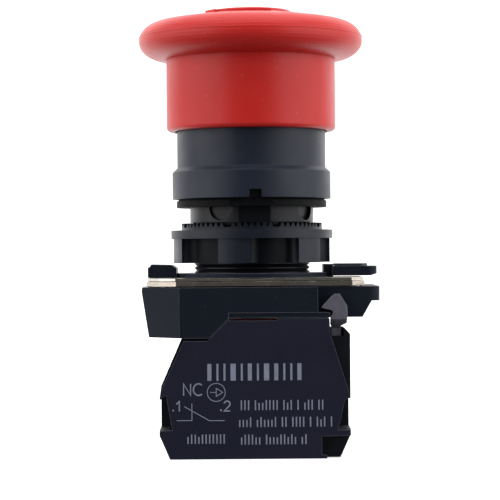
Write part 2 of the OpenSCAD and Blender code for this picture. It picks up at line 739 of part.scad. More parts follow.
module block_cover() {
    left = block_left - 0.05;
    right = block_right - 0.05;
    top = block_top - 0.15;
    foot = block_bottom - 0.1;
    outline = [[-4.0 - (top - shoulder_z), shoulder_z + 0.1], [-4.0, top], [-3.9, top - 0.3],
        [4.3, top - 0.3], [4.3, top], [13.2, top], [13.3, block_top - 2.7], [right - 0.5, entry_top + 1.9],
        [right, entry_top + 0.3], [right - 1, entry_top - 0.1], [right - 2.2, entry_bottom - 0.1],
        [right, entry_bottom - 0.1], [right, entry_bottom - 1.1], [right - 5, entry_bottom - 1.2],
        [right - 5, foot + 0.7], [right - 4.1, foot + 0.5], [right - 4.1, foot], [-left + 1.8, foot],
        [-left, foot + 4.1], [-left, entry_bottom - 0.1], [-left + 2.2, entry_bottom],
        [-left + 1.2, entry_top + 0.8], [-left, entry_top + 0.1], [-left + 0.3, entry_top + 1.6],
        [-11.9, shoulder_z + 0.1]];
    color("#20232b") union() {
        side_plate(outline, block_front, block_front + cover_t);
        for (p = cover_pegs) translate([p[0], block_front + cover_t - 0.3, p[1]]) rotate([-90, 0, 0])
            cylinder(r = peg_r, h = 2.2);
    }
}

module contact_plunger() {
    half = plunger_w / 2;
    stem = stem_w / 2;
    y0 = mid_y - plunger_t / 2;
    y1 = mid_y + plunger_t / 2;
    color("red") difference() {
        union() {
            block([-stem, stem_front, head_low_z], [stem, head_back, plunger_top]);
            block([-half, head_front, head_low_z], [half, head_back, head_top_z]);
            block([-stem, y0, stem_bottom], [stem, y1, head_low_z + eps]);
        }
        // window for the bridge and its spring
        block([-stem - 1, y0 + 0.6, stem_bottom + 1.3], [stem + 1, y1 - 0.6, bridge_top + 0.05]);
    }
}

module contact_bridge() {
    color("orange") difference() {
        block([-bridge_len / 2, mid_y - bridge_w / 2, bridge_top - bridge_t],
              [bridge_len / 2, mid_y + bridge_w / 2, bridge_top]);
        translate([0, mid_y, bridge_top - 2]) cylinder(r = 0.5, h = 4);
    }
}

module bridge_tips() {
    color("white") for (s = [-1, 1]) translate([s * tip_x, mid_y, bridge_top])
        cylinder(r1 = tip_r + 0.1, r2 = tip_r - 0.1, h = 0.18);
}

module bridge_spring() {
    color("silver") translate([0, mid_y, 0])
        coil(0.95, 0.3, stem_bottom + 1.32, bridge_top - bridge_t - 0.02, 4, 12);
}

module plunger_spring() {
    color("silver") translate([0, mid_y, 0]) coil(1.5, 0.4, cavity_floor + 0.02, stem_bottom - 0.02, 6, 14);
}

module fixed_contact(side) {
    inner = tip_x - 1;
    y0 = mid_y - strip_w / 2;
    color("peru") mirror([side < 0 ? 1 : 0, 0, 0]) difference() {
        union() {
            block([5.2, y0, strip_bottom], [14.2, y0 + strip_w, strip_bottom + strip_t]);
            block([5.2, mid_y - 1.4, strip_bottom], [6, mid_y + 1.4, contact_z]);
            block([inner, mid_y - 1.4, contact_z - strip_t], [6, mid_y + 1.4, contact_z]);
        }
        translate([terminal_x, mid_y, strip_bottom - 1]) cylinder(d = screw_d + 0.1, h = 4);
    }
}

module fixed_tips() {
    color("white") for (s = [-1, 1]) translate([s * tip_x, mid_y, contact_z - strip_t - tip_t])
        cylinder(r1 = tip_r - 0.1, r2 = tip_r + 0.1, h = tip_t);
}

module clamp_washer(side) {
    half = washer_x / 2;
    lip = head_r + 0.12;
    color("silver") translate([side * terminal_x, mid_y, head_top + 0.02]) difference() {
        union() {
            block([-half, -half, 0], [half, half, clamp_t - 0.02]);
            for (s = [-1, 1]) block([-half, min(s * lip, s * half), -0.8],
                [half, max(s * lip, s * half), 0.2]);
        }
        translate([0, 0, -1]) cylinder(d = screw_d + 0.3, h = 4);
        // grooves that grip the wire
        for (i = [-1:1]) block([i * 1.9 - 0.15, -half - 1, clamp_t - 0.22],
            [i * 1.9 + 0.15, half + 1, clamp_t + 1]);
    }
}

module terminal_screw(side) {
    head_z = head_top - head_h;
    color("lightgray") translate([side * terminal_x, mid_y, 0]) difference() {
        union() {
            translate([0, 0, head_z]) cylinder(r1 = head_r - 0.4, r2 = head_r, h = 0.5);
            translate([0, 0, head_z + 0.5 - eps]) cylinder(r = head_r, h = head_h - 0.5 + eps);
            translate([0, 0, head_top - eps])
                cylinder(d = screw_d, h = strip_bottom + strip_t + 1 - head_top);
        }
        // cross recess
        for (a = [0, 90]) translate([0, 0, head_z]) rotate([0, 0, a])
            cube([3.4, 0.8, 2.4], center = true);
    }
}

module hook_clip() {
    z = block_top;
    outline = [[14.13, z + 4.04], [15.02, z + 4.04], [16.27, z + 2.02], [16.34, z + 0.77], [16.2, z - 1.0],
        [15.2, z - 1.5], [15.2, z - 6.2], [13.6, z - 6.2], [13.6, z - 1.6], [13.4, z - 1.2],
        [13.4, z + 0.08],
        [13.92, z + 0.91], [13.58, z + 1.3], [12.47, z + 1.5], [11.84, z + 1.8], [13.58, z + 3.6]];
    back = hook_slot_y;
    front = hook_y;
    // the strip's bends seen from the side: down the front, back at the fold, down the slot
    bend = [[front, z + 5], [front + hook_t, z + 5], [front + hook_t, z + 0.1], [back + hook_t, z - 1.5],
        [back + hook_t, z - 7], [back, z - 7], [back, z - 1.9], [front, z - 0.3]];
    color("gray") difference() {
        intersection() {
            side_plate(outline, front - 1, back + 3);
            translate([10, 0, 0]) rotate([90, 0, 90]) linear_extrude(8) polygon(bend);
        }
        translate([hook_pivot[0], front - 1, hook_pivot[1]]) rotate([-90, 0, 0])
            cylinder(r = pin_r + run_gap, h = 8);
    }
}

module hook_pin() {
    color("silver") translate([hook_pivot[0], hook_slot_y - 0.2, hook_pivot[1]]) rotate([-90, 0, 0])
        cylinder(r = pin_r, h = pin_len);
}

mushroom_cap();
cam_core();
core_screws();
push_rod();
rod_clip();
release_spring();
return_spring();
bezel();
sleeve_seal();
threaded_barrel();
panel_gasket();
latch_cage();
latch_block(-1);  // latch_block_left
latch_block(1);  // latch_block_right
latch_springs();
ring_nut();
lock_ring();
lever_pad();
lock_plate();
spring_plate();
plate_rivets();
collar_body();
block_housing();
block_floor();
block_cover();
contact_plunger();
contact_bridge();
bridge_tips();
bridge_spring();
plunger_spring();
fixed_contact(-1);  // fixed_contact_left
fixed_contact(1);  // fixed_contact_right
fixed_tips();
clamp_washer(-1);  // clamp_washer_left
clamp_washer(1);  // clamp_washer_right
terminal_screw(-1);  // terminal_screw_left
terminal_screw(1);  // terminal_screw_right
hook_clip();
hook_pin();
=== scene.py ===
import math
import random
import bpy
import bmesh
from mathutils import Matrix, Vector


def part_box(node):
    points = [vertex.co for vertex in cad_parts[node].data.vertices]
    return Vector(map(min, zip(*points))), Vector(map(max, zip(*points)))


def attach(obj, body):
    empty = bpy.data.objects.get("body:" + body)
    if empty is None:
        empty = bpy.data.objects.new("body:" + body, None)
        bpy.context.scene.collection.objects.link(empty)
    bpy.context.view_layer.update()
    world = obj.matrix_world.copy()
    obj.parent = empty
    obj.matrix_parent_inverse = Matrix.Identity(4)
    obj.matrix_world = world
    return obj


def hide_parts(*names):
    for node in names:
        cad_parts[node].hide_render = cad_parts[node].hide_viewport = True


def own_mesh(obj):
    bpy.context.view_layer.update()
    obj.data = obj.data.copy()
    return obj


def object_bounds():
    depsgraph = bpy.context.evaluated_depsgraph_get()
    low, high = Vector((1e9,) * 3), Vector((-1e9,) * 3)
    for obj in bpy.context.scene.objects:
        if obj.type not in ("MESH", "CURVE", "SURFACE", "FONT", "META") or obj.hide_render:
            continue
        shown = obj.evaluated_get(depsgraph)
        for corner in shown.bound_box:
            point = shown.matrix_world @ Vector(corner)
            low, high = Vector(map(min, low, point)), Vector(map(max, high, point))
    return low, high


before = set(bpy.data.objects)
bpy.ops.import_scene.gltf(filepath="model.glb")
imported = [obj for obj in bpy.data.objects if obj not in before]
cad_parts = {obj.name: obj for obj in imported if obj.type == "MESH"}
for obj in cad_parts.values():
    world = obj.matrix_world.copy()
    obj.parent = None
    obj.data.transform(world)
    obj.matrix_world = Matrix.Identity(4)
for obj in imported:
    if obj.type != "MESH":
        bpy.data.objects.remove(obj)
cadBox = [list(corner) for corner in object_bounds()]
mm = 0.001
print("frame loaded:", len(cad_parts), "nodes")

cameraSetup = {
    "distance": 0.350,      # from the head's axis to the lens
    "eyeHeight": -0.0076,   # level with the ring nut's foot
    "sideStep": -0.00036,
    "lens": 140.5,
    "sensorWidth": 36,
    "roll": 0.45,           # degrees, the head leans a little to the right
}


def addCamera(setup):
    data = bpy.data.cameras.new("camera")
    data.lens = setup["lens"]
    data.sensor_width = setup["sensorWidth"]
    camera = bpy.data.objects.new("camera", data)
    bpy.context.collection.objects.link(camera)
    camera.location = (setup["sideStep"], -setup["distance"], setup["eyeHeight"])
    camera.rotation_euler = (math.radians(90), math.radians(setup["roll"]), 0)
    bpy.context.scene.camera = camera


addCamera(cameraSetup)


def startMaterial(name):
    material = bpy.data.materials.new(name)
    material.use_nodes = True
    return material, material.node_tree, material.node_tree.nodes["Principled BSDF"]


def addNode(tree, kind, settings=None, **values):
    node = tree.nodes.new(kind)
    for key, value in (settings or {}).items():
        setattr(node, key, value)
    for key, value in values.items():
        node.inputs[key].default_value = value
    return node


def remap(tree, value, low, high, fromLow=0.3, fromHigh=0.7, interpolation="LINEAR"):
    node = addNode(tree, "ShaderNodeMapRange", {"interpolation_type": interpolation})
    for key, number in (("From Min", fromLow), ("From Max", fromHigh),
                        ("To Min", low), ("To Max", high)):
        node.inputs[key].default_value = number
    tree.links.new(value, node.inputs["Value"])
    return node.outputs["Result"]


studio = {
    "floorGap": 0.00002,    # the floor lies this far under the object's foot
    "halfWidth": 1.6,
    "front": -1.4,
    "back": 0.9,
    "sweepRadius": 0.5,
    "sweepSteps": 16,
    "height": 1.8,
    "floorColour": (0.93, 0.93, 0.925),
    "floorRoughness": 0.6,
    "floorGlow": 0.55,      # keeps the sweep white where the softboxes fall off
    "frontGlow": 0.105,     # the room behind the camera is dim
    "backGlow": 1.85,       # the room behind the object is bright
    "glowSpan": (-0.1, 0.75),   # where the one turns into the other, from front -1 to back 1
}


def addSweep(setup, floorHeight):
    # a floor that curves up into the backdrop
    radius = setup["sweepRadius"]
    curveStart = setup["back"] - radius
    profile = [(setup["front"], floorHeight), (curveStart, floorHeight)]
    for step in range(1, setup["sweepSteps"] + 1):
        angle = math.radians(90 * step / setup["sweepSteps"])
        profile.append((curveStart + radius * math.sin(angle),
                        floorHeight + radius * (1 - math.cos(angle))))
    profile.append((setup["back"], setup["height"]))
    work = bmesh.new()
    rows = [[work.verts.new((side * setup["halfWidth"], y, z)) for side in (-1, 1)]
            for y, z in profile]
    for low, high in zip(rows, rows[1:]):
        work.faces.new((low[0], low[1], high[1], high[0]))
    mesh = bpy.data.meshes.new("floor")
    work.to_mesh(mesh)
    work.free()
    for face in mesh.polygons:
        face.use_smooth = True
    floor = bpy.data.objects.new("floor", mesh)
    bpy.context.collection.objects.link(floor)
    material, _, shader = startMaterial("paleFloor")
    shader.inputs["Base Color"].default_value = (*setup["floorColour"], 1)
    shader.inputs["Roughness"].default_value = setup["floorRoughness"]
    shader.inputs["Emission Color"].default_value = (1, 1, 1, 1)
    shader.inputs["Emission Strength"].default_value = setup["floorGlow"]
    mesh.materials.append(material)
    floor.visible_diffuse = False       # its glow must not flatten the dark mouldings
    floor.visible_glossy = False


def addSoftbox(name, place, aim, size, power):
    data = bpy.data.lights.new(name, "AREA")
    data.shape = "RECTANGLE"
    data.size, data.size_y = size
    data.energy = power
    light = bpy.data.objects.new(name, data)
    bpy.context.collection.objects.link(light)
    light.location = place
    light.rotation_euler = (Vector(aim) - Vector(place)).to_track_quat("-Z", "Y").to_euler()


softboxes = [
    # name, place, aim, size, power
    ("overhead", (0.0, -0.10, 0.75), (0, 0, 0.0), (1.0, 0.8), 4.6),
    ("leftWindow", (-0.78, -0.32, 0.14), (0, 0, 0.0), (1.0, 1.1), 6.9),
    ("rightWindow", (0.78, -0.32, 0.14), (0, 0, 0.0), (1.0, 1.1), 6.9),
]


def addWorld(setup):
    # dim in front, bright behind, and plain white where the camera looks straight at it
    world = bpy.data.worlds.new("studioWorld")
    world.use_nodes = True
    tree = world.node_tree
    background = tree.nodes["Background"]
    coords = addNode(tree, "ShaderNodeTexCoord")
    split = addNode(tree, "ShaderNodeSeparateXYZ")
    tree.links.new(coords.outputs["Generated"], split.inputs["Vector"])
    depth = remap(tree, split.outputs["Y"], setup["frontGlow"], setup["backGlow"],
                  *setup["glowSpan"], interpolation="SMOOTHSTEP")
    path = addNode(tree, "ShaderNodeLightPath")
    strength = addNode(tree, "ShaderNodeMath", {"operation": "MAXIMUM"})
    tree.links.new(depth, strength.inputs[0])
    tree.links.new(path.outputs["Is Camera Ray"], strength.inputs[1])
    tree.links.new(strength.outputs["Value"], background.inputs["Strength"])
    background.inputs["Color"].default_value = (1, 1, 1, 1)
    bpy.context.scene.world = world


addSweep(studio, cadBox[0][2] - studio["floorGap"])
addWorld(studio)
for softbox in softboxes:
    addSoftbox(*softbox)
bpy.context.scene.view_settings.view_transform = "Standard"
print("camera, floor and light in place")


def objectPoint(tree, stretch=(1, 1, 1)):
    # the piece's own coordinates, in metres, stretched for brushed or drawn looks
    coords = addNode(tree, "ShaderNodeTexCoord")
    mapping = addNode(tree, "ShaderNodeMapping")
    mapping.inputs["Scale"].default_value = stretch
    tree.links.new(coords.outputs["Object"], mapping.inputs["Vector"])
    return mapping.outputs["Vector"]


def noise(tree, point, scale, detail, roughness=0.55):
    node = addNode(tree, "ShaderNodeTexNoise", Scale=scale, Detail=detail, Roughness=roughness)
    tree.links.new(point, node.inputs["Vector"])
    return node.outputs["Fac"]


def blendColours(tree, factor, first, second):
    node = addNode(tree, "ShaderNodeMix", {"data_type": "RGBA"})
    tree.links.new(factor, node.inputs["Factor"])
    for socket, colour in (("A", first), ("B", second)):
        target = [entry for entry in node.inputs
                  if entry.name == socket and entry.type == "RGBA"][0]
        if isinstance(colour, tuple):
            target.default_value = (*colour, 1)
        else:
            tree.links.new(colour, target)
    return [entry for entry in node.outputs if entry.type == "RGBA"][0]


def addBump(tree, shader, height, distance, strength):
    node = addNode(tree, "ShaderNodeBump", Strength=strength, Distance=distance)
    tree.links.new(height, node.inputs["Height"])
    tree.links.new(node.outputs["Normal"], shader.inputs["Normal"])


edges = {
    "reach": 0.00012,       # in metres, how far from an edge the wear and the painted highlight go
    "samples": 6,
    "most": 0.85,           # share of the edge wear and painted highlight colour right at the edge
    "agree": (0.88, 0.995),     # how well the two normals agree, at the edge and away from it
}


def edgeWearAndHighlight(tree, setup):
    # mask for edge wear and a painted highlight line: largest close to an edge, where a softened
    # normal turns away from the true one
    soft = addNode(tree, "ShaderNodeBevel", {"samples": setup["samples"]}, Radius=setup["reach"])
    true = addNode(tree, "ShaderNodeNewGeometry")
    match = addNode(tree, "ShaderNodeVectorMath", {"operation": "DOT_PRODUCT"})
    tree.links.new(soft.outputs["Normal"], match.inputs[0])
    tree.links.new(true.outputs["Normal"], match.inputs[1])
    return remap(tree, match.outputs["Value"], setup["most"], 0.0, *setup["agree"])


# what all the plastics share; lengths are in metres
plasticCommon = {
    "specular": 0.5,
    "grainStrength": 0.5,
    "roughScale": 2.3,      # the shine drifts this much finer than the colour
    "speckScale": 1900,
    "speckSpan": (0.70, 0.76),  # the noise at which specks begin and are full
    "dustColour": (0.8, 0.79, 0.77),
    "gapShadeSpan": 0.0012,    # the painted gap shade fades out over this length
    "gapShadeShine": 0.3,      # the share of the shine left under the painted gap shade
}


def mouldedPlastic(name, own):
    # fine spark-eroded texture, slow colour drift, dust, and rubbed edges lightened partly by wear
    # and partly by a painted highlight
    setup = {**plasticCommon, **own}
    material, tree, shader = startMaterial(name)
    point = objectPoint(tree)
    drift = noise(tree, point, setup["driftScale"], 3)
    grain = noise(tree, point, setup["grainScale"], 2, 0.7)
    colour = blendColours(tree, remap(tree, drift, 0, 1), setup["colour"], setup["driftColour"])
    # edges lightened: partly rubbed wear, partly a painted highlight line
    wornAndHighlit = blendColours(tree, edgeWearAndHighlight(tree, edges), colour, setup["edgeWearAndHighlightColour"])
    specks = remap(tree, noise(tree, point, setup["speckScale"], 2, 0.5),
                   0, setup["dust"], *setup["speckSpan"])
    dustAndPaintedLight = blendColours(tree, specks, wornAndHighlit, setup["dustColour"])
    shine = setup["specular"]
    shader.inputs["Specular IOR Level"].default_value = shine
    if "gapShadeRadius" in setup:
        # painted shade in the gaps, where the flange above shadows them: darker and duller nearer the
        # axis than the handled faces
        reach = addNode(tree, "ShaderNodeVectorMath", {"operation": "LENGTH"})
        tree.links.new(objectPoint(tree, (1, 1, 0)), reach.inputs[0])
        span = (setup["gapShadeRadius"], setup["gapShadeRadius"] + setup["gapShadeSpan"])
        gapShade = remap(tree, reach.outputs["Value"], 1, 0, *span)
        dustAndPaintedLight = blendColours(tree, gapShade, dustAndPaintedLight, setup["gapShadeColour"])
        dulled = remap(tree, reach.outputs["Value"], shine * setup["gapShadeShine"], shine, *span)
        tree.links.new(dulled, shader.inputs["Specular IOR Level"])
    tree.links.new(dustAndPaintedLight, shader.inputs["Base Color"])
    patches = noise(tree, point, setup["driftScale"] * setup["roughScale"], 4)
    tree.links.new(remap(tree, patches, *setup["roughness"]), shader.inputs["Roughness"])
    addBump(tree, shader, grain, setup["grainDepth"], setup["grainStrength"])
    return material


metalCommon = {
    "metallic": 1.0,
    "lineStrength": 0.6,
}


def drawnMetal(name, own):
    # rolled or drawn metal: fine lines across the stretched axes, dulled patches, and edges lightened
    # partly by wear and partly by a painted highlight
    setup = {**metalCommon, **own}
    material, tree, shader = startMaterial(name)
    point = objectPoint(tree, setup["stretch"])
    lines = noise(tree, point, setup["lineScale"], 5, 0.7)
    patches = noise(tree, objectPoint(tree), setup["patchScale"], 4)
    colour = blendColours(tree, remap(tree, patches, 0, 1), setup["colour"], setup["patchColour"])
    # edges lightened: partly rubbed wear, partly a painted highlight line
    wornAndHighlit = blendColours(tree, edgeWearAndHighlight(tree, edges), colour, setup["edgeWearAndHighlightColour"])
    tree.links.new(wornAndHighlit, shader.inputs["Base Color"])
    shader.inputs["Metallic"].default_value = setup["metallic"]
    tree.links.new(remap(tree, lines, *setup["roughness"]), shader.inputs["Roughness"])
    addBump(tree, shader, lines, setup["lineDepth"], setup["lineStrength"])
    return material


plastics = {
    "redCap": {
        "colour": (0.72, 0.026, 0.021), "driftColour": (0.68, 0.023, 0.019),
        "edgeWearAndHighlightColour": (0.78, 0.06, 0.05), "driftScale": 60, "grainScale": 5200,
        "grainDepth": 0.00002, "grainStrength": 0.35, "roughness": (0.36, 0.46), "specular": 0.34,
        "dust": 0.10,
    },
    "bezelBlue": {
        "colour": (0.0150, 0.0205, 0.0390), "driftColour": (0.0125, 0.0175, 0.0340),
        "edgeWearAndHighlightColour": (0.05, 0.06, 0.085), "driftScale": 90, "grainScale": 6500,
        "grainDepth": 0.00003, "roughness": (0.40, 0.52), "specular": 0.34, "dust": 0.03,
    },
    "nutGrey": {
        "colour": (0.0125, 0.0165, 0.0280), "driftColour": (0.0100, 0.0135, 0.0235),
        "edgeWearAndHighlightColour": (0.045, 0.053, 0.07), "driftScale": 110, "grainScale": 6000,
        "grainDepth": 0.00002, "roughness": (0.34, 0.46), "specular": 0.26, "dust": 0.05,
        # painted shade in the nut's gaps, inside this radius
        "gapShadeRadius": 0.0119, "gapShadeColour": (0.0045, 0.0055, 0.0085),
    },
    # black plastic, darkened further by painted shade, as the neck sits in shadow
    "barrelShadedBlack": {
        "colour": (0.0060, 0.0070, 0.0110), "driftColour": (0.005, 0.006, 0.009),
        "edgeWearAndHighlightColour": (0.03, 0.035, 0.05), "driftScale": 110, "grainScale": 6000,
        "grainDepth": 0.00002, "roughness": (0.32, 0.44), "specular": 0.24, "dust": 0.03,
    },
    "collarBlack": {
        "colour": (0.0150, 0.0190, 0.0290), "driftColour": (0.0130, 0.0165, 0.0260),
        "edgeWearAndHighlightColour": (0.24, 0.26, 0.31), "driftScale": 70, "grainScale": 6000,
        "grainDepth": 0.00002, "roughness": (0.30, 0.40), "specular": 0.06, "dust": 0.02,
    },
    "blockBlack": {
        "colour": (0.0200, 0.0215, 0.0400), "driftColour": (0.0160, 0.0175, 0.0330),
        "edgeWearAndHighlightColour": (0.20, 0.21, 0.27), "driftScale": 60, "grainScale": 5600,
        "grainDepth": 0.000025, "roughness": (0.38, 0.5), "specular": 0.16, "dust": 0.02,
    },
    "housingBlack": {
        "colour": (0.009, 0.010, 0.014), "driftColour": (0.007, 0.008, 0.012),
        "edgeWearAndHighlightColour": (0.035, 0.038, 0.05), "driftScale": 80, "grainScale": 5600,
        "grainDepth": 0.00002, "roughness": (0.42, 0.55), "specular": 0.2, "dust": 0.02,
    },
    "acetal": {
        "colour": (0.74, 0.72, 0.66), "driftColour": (0.70, 0.68, 0.61),
        "edgeWearAndHighlightColour": (0.82, 0.8, 0.74), "driftScale": 120, "grainScale": 5000,
        "grainDepth": 0.00001, "roughness": (0.38, 0.5), "dust": 0.0,
    },
    "redPlunger": {
        "colour": (0.22, 0.010, 0.010), "driftColour": (0.18, 0.008, 0.008),
        "edgeWearAndHighlightColour": (0.3, 0.03, 0.025), "driftScale": 150, "grainScale": 6000,
        "grainDepth": 0.00001, "roughness": (0.34, 0.44), "dust": 0.0,
    },
    "padGrey": {
        "colour": (0.045, 0.049, 0.062), "driftColour": (0.036, 0.04, 0.052),
        "edgeWearAndHighlightColour": (0.12, 0.13, 0.15), "driftScale": 150, "grainScale": 6000,
        "grainDepth": 0.00002, "roughness": (0.4, 0.55), "dust": 0.03,
    },
    "sealRubber": {
        "colour": (0.0025, 0.003, 0.004), "driftColour": (0.004, 0.0045, 0.0055),
        "edgeWearAndHighlightColour": (0.014, 0.014, 0.016), "driftScale": 200, "grainScale": 4200,
        "grainDepth": 0.00003, "roughness": (0.6, 0.75), "specular": 0.14, "dust": 0.03,
    },
    "printInk": {
        "colour": (0.30, 0.32, 0.43), "driftColour": (0.23, 0.25, 0.35),
        "edgeWearAndHighlightColour": (0.30, 0.32, 0.43), "driftScale": 900, "grainScale": 7000,
        "grainDepth": 0.00001, "roughness": (0.5, 0.62), "dust": 0.0,
    },
}
metals = {
    "zincPlate": {
        "colour": (0.56, 0.50, 0.44), "patchColour": (0.40, 0.34, 0.28),
        "edgeWearAndHighlightColour": (0.85, 0.83, 0.78), "stretch": (1, 12, 40), "lineScale": 700,
        "patchScale": 260, "roughness": (0.16, 0.30), "lineDepth": 0.00002,
    },
    "springPlate": {
        "colour": (0.66, 0.62, 0.56), "patchColour": (0.50, 0.45, 0.38),
        "edgeWearAndHighlightColour": (0.95, 0.93, 0.9), "stretch": (1, 12, 40), "lineScale": 900,
        "patchScale": 300, "roughness": (0.14, 0.26), "lineDepth": 0.00002,
    },
    "springWire": {
        "colour": (0.6, 0.6, 0.62), "patchColour": (0.48, 0.48, 0.5),
        "edgeWearAndHighlightColour": (0.75, 0.75, 0.77), "stretch": (1, 1, 1), "lineScale": 2400,
        "patchScale": 300, "roughness": (0.22, 0.36), "lineDepth": 0.00001,
    },
    "screwZinc": {
        "colour": (0.62, 0.62, 0.61), "patchColour": (0.52, 0.52, 0.53),
        "edgeWearAndHighlightColour": (0.8, 0.8, 0.8), "stretch": (1, 1, 6), "lineScale": 1800, "patchScale": 400,
        "roughness": (0.25, 0.4), "lineDepth": 0.00001,
    },
    "hookSteel": {
        "colour": (0.185, 0.180, 0.225), "patchColour": (0.13, 0.126, 0.165),
        "edgeWearAndHighlightColour": (0.4, 0.4, 0.45), "stretch": (1, 1, 1), "lineScale": 2600, "patchScale": 700,
        "roughness": (0.42, 0.6), "lineDepth": 0.00003, "metallic": 0.35,
    },
    "contactBrass": {
        "colour": (0.72, 0.5, 0.22), "patchColour": (0.6, 0.4, 0.17),
        "edgeWearAndHighlightColour": (0.86, 0.66, 0.36), "stretch": (1, 14, 1), "lineScale": 900,
        "patchScale": 400, "roughness": (0.24, 0.4), "lineDepth": 0.00001,
    },
    "silverTip": {
        "colour": (0.84, 0.83, 0.8), "patchColour": (0.7, 0.69, 0.66),
        "edgeWearAndHighlightColour": (0.93, 0.92, 0.9), "stretch": (1, 1, 1), "lineScale": 2600, "patchScale": 900,
        "roughness": (0.2, 0.34), "lineDepth": 0.00001,
    },
}
finishes = {name: mouldedPlastic(name, setup) for name, setup in plastics.items()}
finishes.update({name: drawnMetal(name, setup) for name, setup in metals.items()})
print("finishes made:", len(finishes))

# which finish each CAD piece wears, and how wide its edges are rounded, in mm
dressing = {
    "redCap": {"mushroom_cap": 0.0},
    "bezelBlue": {"bezel": 0.12},
    "nutGrey": {"ring_nut": 0.06},
    "barrelShadedBlack": {"threaded_barrel": 0.0},
    "collarBlack": {"lock_ring": 0.15, "collar_body": 0.18},
    "blockBlack": {"block_cover": 0.12},
    "housingBlack": {"block_housing": 0.12, "block_floor": 0.04},
    "acetal": {"cam_core": 0.1, "push_rod": 0.1, "latch_cage": 0.1},
    "redPlunger": {"contact_plunger": 0.1},
    "padGrey": {"lever_pad": 0.06},
    "sealRubber": {"panel_gasket": 0.12, "sleeve_seal": 0.1},
    "springPlate": {"spring_plate": 0.05},
    "zincPlate": {"lock_plate": 0.06, "clamp_washer_left": 0.05, "clamp_washer_right": 0.05},
    "springWire": {
        "rod_clip": 0.04, "release_spring": 0, "return_spring": 0, "latch_springs": 0.02,
        "bridge_spring": 0, "plunger_spring": 0, "hook_pin": 0.05,
    },
    "screwZinc": {
        "core_screws": 0.06, "plate_rivets": 0.08, "terminal_screw_left": 0.06,
        "terminal_screw_right": 0.06,
    },
    "hookSteel": {"hook_clip": 0.06},
    "contactBrass": {
        "latch_block_left": 0.06, "latch_block_right": 0.06, "contact_bridge": 0.04,
        "fixed_contact_left": 0.05, "fixed_contact_right": 0.05,
    },
    "silverTip": {"bridge_tips": 0, "fixed_tips": 0},
}

rounding = {
    "weldReach": 0.000002,
    "segments": 2,
    "sharpAngle": 35,       # degrees, only edges that turn more than this are rounded
}


def dressNode(name, finish, roundMm, setup):
    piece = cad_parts[name]
    piece.data.materials.clear()
    piece.data.materials.append(finishes[finish])
    if roundMm:
        weld = piece.modifiers.new("weld", "WELD")
        weld.merge_threshold = setup["weldReach"]
        bevel = piece.modifiers.new("roundedEdges", "BEVEL")
        bevel.width = roundMm * mm
        bevel.segments = setup["segments"]
        bevel.limit_method = "ANGLE"
        bevel.angle_limit = math.radians(setup["sharpAngle"])
        bevel.use_clamp_overlap = True
        bevel.harden_normals = False
        smooth = piece.modifiers.new("softNormals", "WEIGHTED_NORMAL")
        smooth.keep_sharp = True


for finish, nodes in dressing.items():
    for name, roundMm in nodes.items():
        dressNode(name, finish, roundMm, rounding)
print("CAD pieces dressed")


def addPiece(name, work, finish, body):
    bmesh.ops.recalc_face_normals(work, faces=work.faces)
    mesh = bpy.data.meshes.new(name)
    work.to_mesh(mesh)
    work.free()
    piece = bpy.data.objects.new(name, mesh)
    bpy.context.collection.objects.link(piece)
    mesh.materials.append(finishes[finish])
    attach(piece, body)
    return piece


partingLine = {
    "height": 30.4,         # above the panel, where the two halves of the mould met
    "proud": 0.08,
    "width": 0.16,
    "tuck": 0.03,           # its edges lie this far inside the rim
    "sink": 0.15,           # and its foot this far
    "segments": 256,
    "rimMiddle": 29.75,     # the rim's widest level
    "rimRise": 3.5,         # half the height and half the width of its oval section
    "rimWidth": 4.5,
    "rimCentre": 15.5,      # how far that section's middle is from the axis
}


def addPartingLine(setup):
    # a low ridge that runs round the rim, with its foot sunk in the cap
    def rimRadius(level):
        lift = (level - setup["rimMiddle"]) / setup["rimRise"]
        return setup["rimCentre"] + setup["rimWidth"] * math.sqrt(1 - lift * lift)

    level = setup["height"]
    low, high = level - setup["width"] / 2, level + setup["width"] / 2
    section = [(rimRadius(low) - setup["tuck"], low), (rimRadius(level) + setup["proud"], level),
               (rimRadius(high) - setup["tuck"], high), (rimRadius(level) - setup["sink"], level)]
    work = bmesh.new()
    rings = []
    for step in range(setup["segments"]):
        angle = 2 * math.pi * step / setup["segments"]
        across, along = math.cos(angle), math.sin(angle)
        rings.append([work.verts.new((radius * across * mm, radius * along * mm, height * mm))
                      for radius, height in section])
    for first, second in zip(rings, rings[1:] + rings[:1]):
        for corner in range(len(section)):
            after = (corner + 1) % len(section)
            work.faces.new((first[corner], second[corner], second[after], first[after]))
    addPiece("cap_parting_line", work, "redCap", "cap")


addPartingLine(partingLine)

springs = {
    # wire is its radius, travel how far the joint shortens the spring, both in mm
    "coils": {
        "return_spring": {"wire": 0.4, "turns": 7, "body": "actuator",
                          "joint": "press", "travel": 5},
        "plunger_spring": {"wire": 0.2, "turns": 6, "body": "plunger",
                           "joint": "contact_slide", "travel": 5},
    },
    "closedTurns": 0.8,     # turns laid flat, both ends together
    "slack": 0.01,          # the coil is this much narrower than the CAD spring
    "stepsPerTurn": 36,
    "sides": 12,
}


